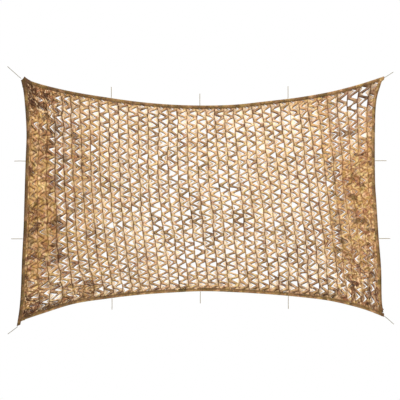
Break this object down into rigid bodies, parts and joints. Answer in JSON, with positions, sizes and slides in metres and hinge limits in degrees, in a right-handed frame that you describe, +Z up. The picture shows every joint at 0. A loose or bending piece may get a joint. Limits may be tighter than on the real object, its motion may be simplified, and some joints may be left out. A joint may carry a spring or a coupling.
{
  "type": "camouflage netting",
  "caption": "Desert camouflage net of incised cloth, stretched upright by its cords, with bound edges that sag between the corners.",
  "frame": {"origin": "middle of the top edge, at the outer fold of the top binding, where the hanging net is held up", "axes": "+Z up along the hanging net, +X to the right seen from the front, -Y towards the viewer, out of the net's face"},
  "size_m": [3.1956, 0.0286, 2.2153],
  "materials": {
    "net_cloth": "matt printed cloth, taken to be polyester, desert camouflage in tan, brown and dark brown",
    "edge_binding": "folded strip of the same printed cloth, sewn along its lip",
    "tie_cord": "twisted tan cord"
  },
  "bodies": {
    "root": {"net_cloth": "net_cloth", "binding_top": "edge_binding", "binding_bottom": "edge_binding", "binding_left": "edge_binding", "binding_right": "edge_binding", "tie_corner_tl": "tie_cord", "tie_corner_tr": "tie_cord", "tie_corner_bl": "tie_cord", "tie_corner_br": "tie_cord", "tie_top_1": "tie_cord", "tie_top_2": "tie_cord", "tie_top_3": "tie_cord", "tie_bottom_1": "tie_cord", "tie_bottom_2": "tie_cord", "tie_bottom_3": "tie_cord", "tie_left_1": "tie_cord", "tie_left_2": "tie_cord", "tie_right_1": "tie_cord", "tie_right_2": "tie_cord"}
  },
  "joints": []
}
